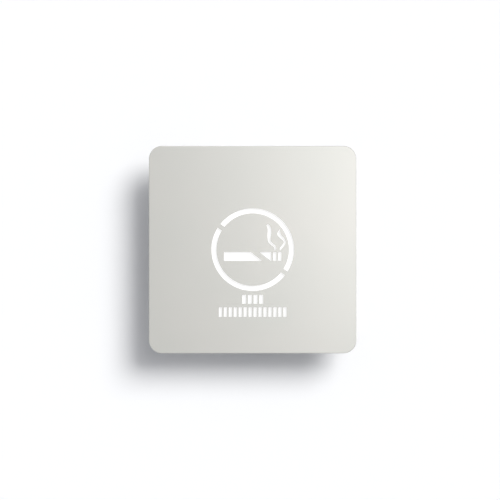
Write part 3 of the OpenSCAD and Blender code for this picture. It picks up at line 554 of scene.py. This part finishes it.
ROUTES = {
    "brown_lead": [
        (-10, -9.6, 42), (-10, -9.6, 48), (-11, -9.8, 51), (-14, -10.6, 52.7),
        (-18, -10.8, 52.8), (-45, -10.8, 52.8), (-49.5, -10.8, 51.5), (-52, -10.8, 48.5),
        (-52.8, -10.8, 44), (-52.8, -10.8, -11), (-52, -10.5, -16), (-49.5, -9.8, -20),
        (-45, -9, -22), (-33.5, -9, -22), (-31, -9, -22),
    ],
    "blue_lead": [
        (0, -9.6, 42), (0, -9.6, 48), (-1, -9.2, 51), (-4, -8.6, 52.7),
        (-8, -8.4, 52.8), (-45, -8.4, 52.8), (-49.5, -8.4, 51.5), (-52, -8.4, 48.5),
        (-52.8, -8.4, 44), (-52.8, -8.4, -16), (-52, -8.6, -21), (-49.5, -8.8, -25),
        (-45, -9, -26.5), (-33.5, -9, -26.5), (-31, -9, -26.5),
    ],
    "red_lead": [
        (31, -9, -22), (33, -9, -22), (35, -9.3, -20.8), (35.5, -10, -18),
        (35.3, -11.5, -14.5), (34.9, -14, -12.6), (34.9, -16, -12), (34.9, -20.5, -12),
        (34.9, -22, -11.3), (34.9, -22.7, -9.5), (34.9, -22.8, -7), (34.9, -22.8, -1.6),
    ],
    "black_lead": [
        (31, -9, -26.5), (35, -9, -26.5), (38, -9.3, -25), (39.3, -10, -21),
        (38.6, -11.5, -16.5), (37.2, -14, -13), (37.1, -16, -12), (37.1, -20.5, -12),
        (37.1, -22, -11.3), (37.1, -22.7, -9.5), (37.1, -22.8, -7), (37.1, -22.8, -1.6),
    ],
    "earth_lead": [
        (10, -9.6, 42), (10, -9.6, 48), (11.5, -9.5, 51), (15, -9.5, 52), (20, -9.2, 51),
        (24.5, -8.6, 47.5), (27.5, -7.6, 42.5), (28, -7.1, 37), (28, -7.1, 30.5),
    ],
}


def rounded(points, passes=3):
    """Rounds a route off. Each pass puts two points in place of every bend, a quarter of
    the way along the stretches on its two sides, and keeps the ends."""
    for _ in range(passes):
        a, b = points[:-1], points[1:]
        cut = np.stack([a + (b - a) / 4, b - (b - a) / 4], 1).reshape(-1, 3)
        points = np.concatenate([points[:1], cut[1:-1], points[-1:]])
    return points


def round_lead(node, radius, material, steps=16):
    """A lead as a tube along its rounded route: at each point a circle across the route,
    on two sides that are cross products of the route's heading. The cosine of twice the
    angle, turned on once in 60 millimetres, goes with the mesh and is high on two
    stripes that wind along the lead."""
    route = rounded(np.array(ROUTES[node]) * MM)
    heading = np.gradient(route, axis=0)
    heading /= np.linalg.norm(heading, axis=1, keepdims=True)
    side = np.cross(heading, (1.0, 0.6, 1.3))
    side /= np.linalg.norm(side, axis=1, keepdims=True)
    other = np.cross(heading, side)
    angle = around(steps)
    across = np.cos(angle)[:, None] * side[:, None] + np.sin(angle)[:, None] * other[:, None]
    shell = skin(route[:, None] + radius * across)
    made = piece(node + "_round", [shell], material, node)
    length = np.cumsum(np.linalg.norm(np.diff(route, axis=0, prepend=route[:1]), axis=1))
    wave = np.zeros(len(shell[0]))
    wave[:-2] = np.cos(2 * angle + length[:, None] / STRIPE_TURN * TURN).ravel()
    made.data.attributes.new("stripe", "FLOAT", "POINT").data.foreach_set("value", wave)
    return made


# Finishes on the solids and the new pieces. A plastic has its two tones, its roughness,
# and its grain's width and height, and a powder coat its two tones and its roughness.

zinc = finish("bright_zinc", bright_zinc)
steel = finish("plain_steel", plain_steel)
brass = finish("turned_brass", turned_brass)
nylon = finish(
    "natural_nylon", moulded_plastic, "#e9e8e1", "#e2e1d8", 0.38, 0.5 * MM, 0.01 * MM,
)
rubber = finish(
    "black_rubber", moulded_plastic, "#1b1b1c", "#262627", 0.72, 0.8 * MM, 0.02 * MM,
)
textured_abs = finish(
    "textured_abs", moulded_plastic, "#303236", "#33363a", 0.6, 0.4 * MM, 0.04 * MM,
)

FINISHES = {
    "face_plate": finish("anodised_aluminium", anodised_aluminium),
    "face_gasket": finish("closed_cell_foam", closed_cell_foam),
    "diffuser": finish("opal_acrylic", opal_acrylic),
    "light_tray": finish("white_powder_coat", powder_coat, "#ededeb", "#e8e8e6", 0.38),
    "thermal_pad": finish("silicone_pad", silicone_pad),
    "led_board": finish("white_solder_mask", white_solder_mask),
    "board_connector": nylon,
    "board_screws": zinc,
    "tray_grommet": rubber,
    "hanger_pins": steel,
    "lock_inserts": zinc,
    "wall_base": finish("grey_powder_coat", powder_coat, "#c2c4c6", "#bcbec1", 0.42),
    "cable_grommet": rubber,
    "cable_saddle": nylon,
    "saddle_screws": zinc,
    "terminal_block": nylon,
    "terminal_tubes": brass,
    "terminal_screws": zinc,
    "terminal_fixings": zinc,
    "driver": textured_abs,
    "driver_screws": zinc,
    "earth_lug": finish("tinned_copper", tinned_copper),
    "earth_screw": brass,
}

for name, material in FINISHES.items():
    for slot in nodes[name].material_slots:
        slot.material = material

threaded_studs(steel)
chamfered_nuts(zinc)
pressed_washers(zinc)
button_head_screws(zinc)
moulded_lamps(finish("phosphor_lamp", phosphor_lamp))
capped_resistors(finish("chip_resistor", chip_resistor))

for colour, pigment, drift, radius in (
    ("brown", "#5d3a22", "#67432a", MAINS_LEAD_R),
    ("blue", "#2156a8", "#2a60b2", MAINS_LEAD_R),
    ("red", "#b3261c", "#bd3126", LAMP_LEAD_R),
    ("black", "#1c1c1d", "#252526", LAMP_LEAD_R),
):
    pvc = finish(colour + "_pvc", plain_pvc, pigment, drift)
    round_lead(colour + "_lead", radius, pvc)
round_lead("earth_lead", MAINS_LEAD_R, finish("earth_pvc", striped_pvc))


# Wall, lamps, world and camera


def white_wall():
    """White wall behind the sign. Only its front is there, for the camera and for light
    on its second bounce or later, so it takes the sign's shadow but doesn't hide or
    darken the sign's back."""
    half, gap = 3.0, 0.3 * MM
    mesh = bpy.data.meshes.new("wall")
    corners = [(-half, gap, -half), (half, gap, -half), (half, gap, half), (-half, gap, half)]
    mesh.from_pydata(corners, [], [(0, 1, 2, 3)])
    made = bpy.data.objects.new("wall", mesh)
    bpy.context.scene.collection.objects.link(made)
    paint = bpy.data.materials.new("white_wall_paint")
    paint.use_nodes = True
    tree = paint.node_tree
    tree.nodes.clear()
    path = add(tree, "LightPath").outputs
    later = add(tree, "Math", path["Ray Depth"], 1.5, operation="GREATER_THAN")
    seen = add(tree, "Math", path["Is Camera Ray"], later, operation="MAXIMUM")
    behind = add(tree, "NewGeometry").outputs["Backfacing"]
    front = add(tree, "Math", seen, behind, operation="SUBTRACT", use_clamp=True)
    matt = add(tree, "BsdfDiffuse", linear("#ffffff"))
    add(tree, "OutputMaterial", add(tree, "MixShader", front, add(tree, "BsdfTransparent"), matt))
    mesh.materials.append(paint)


def lamp(name, kind, place, aim, energy, **settings):
    """A lamp of the studio, which no camera sees."""
    made = bpy.data.lights.new(name, kind)
    made.energy = energy
    for key, value in settings.items():
        setattr(made, key, value)
    stand = bpy.data.objects.new(name, made)
    bpy.context.scene.collection.objects.link(stand)
    stand.location = place
    stand.rotation_euler = (Vector(aim) - Vector(place)).to_track_quat("-Z", "Y").to_euler()
    stand.visible_camera = False
    return stand


def softbox(name, place, aim, size, level):
    """A square area lamp, with the power at which a white surface that faces it at aim is
    lit to about the level. The lamp's radiance is its power over pi and its area, and the
    level is radiance times area over pi and the distance squared, so power is the level
    times pi squared times the distance squared."""
    power = level * math.pi ** 2 * (Vector(aim) - Vector(place)).length_squared
    return lamp(name, "AREA", place, aim, power, shape="SQUARE", size=size)


def studio_light():
    """Two wide lights from the upper right make the shadow: a strong one low over the
    wall, and a faint one higher that softens its edge. Their level is strength over pi.
    Softboxes that only gloss sees make the sheen on the plate, and light up its bevel
    from the right to the top. Three faint lamps round the back light the sides."""
    for name, (way_in, half_angle, level) in WINDOWS.items():
        angle = math.radians(2 * half_angle)
        window = lamp(name, "SUN", way_in, (0, 0, 0), level * math.pi, angle=angle)
        window.visible_glossy = False
    gloss_only = [softbox("sheen", SHEEN_PLACE, FACE_MID, SHEEN_SIZE, SHEEN_LEVEL)]
    for number, turn in enumerate(np.arange(3) / 8 * TURN):
        place = (EDGE_AWAY * math.cos(turn), FACE_MID[1], EDGE_AWAY * math.sin(turn))
        gloss_only.append(softbox(f"edge_{number}", place, FACE_MID, EDGE_SIZE, EDGE_LEVEL))
    for box in gloss_only:
        box.visible_diffuse = False
    for number, turn in enumerate(np.arange(3) / 3 * TURN):
        place = (REAR_AWAY * math.sin(turn), REAR_DEPTH, REAR_AWAY * math.cos(turn))
        rear = softbox(f"rear_{number}", place, (0, 0, 0), REAR_SIZE, REAR_LEVEL)
        rear.visible_glossy = False


def studio_world():
    """White where the camera, a mirror or clear glass sees it, and an even soft fill for
    everything else, a little blue as in the photograph's shadow."""
    world = bpy.data.worlds.new("studio")
    world.use_nodes = True
    bpy.context.scene.world = world
    tree = world.node_tree
    tree.nodes.clear()
    path = add(tree, "LightPath").outputs
    gloss = add(tree, "Math", path["Is Camera Ray"], path["Is Glossy Ray"], operation="MAXIMUM")
    seen = add(tree, "Math", gloss, path["Is Transmission Ray"], operation="MAXIMUM")
    fill = add(tree, "Background", linear("#f6f8fe"), FILL_LEVEL)
    white = add(tree, "Background", linear("#ffffff"), 1.0)
    add(tree, "OutputWorld", add(tree, "MixShader", seen, fill, white))


def straight_camera():
    """Looks straight at the wall, with the face plate as wide and where the photograph
    has it. The lens is the sensor's width times the distance over the frame's width."""
    low, high = span("face_plate")
    distance = 1.0
    frame_w = float(high[0] - low[0]) * PHOTO_W / PLATE_PX
    px = frame_w / PHOTO_W
    lens = bpy.data.cameras.new("camera")
    lens.sensor_width = 36.0
    lens.lens = lens.sensor_width * distance / frame_w
    lens.clip_start, lens.clip_end = 0.05, 20.0
    made = bpy.data.objects.new("camera", lens)
    bpy.context.scene.collection.objects.link(made)
    x = (PHOTO_W / 2 - PLATE_MID_PX[0]) * px
    z = (PLATE_MID_PX[1] - PHOTO_W / 2) * px
    made.location = (x, low[1] - distance, z)
    made.rotation_euler = (math.pi / 2, 0, 0)
    bpy.context.scene.camera = made


white_wall()
studio_light()
studio_world()
straight_camera()
bpy.context.scene.view_settings.view_transform = "Standard"
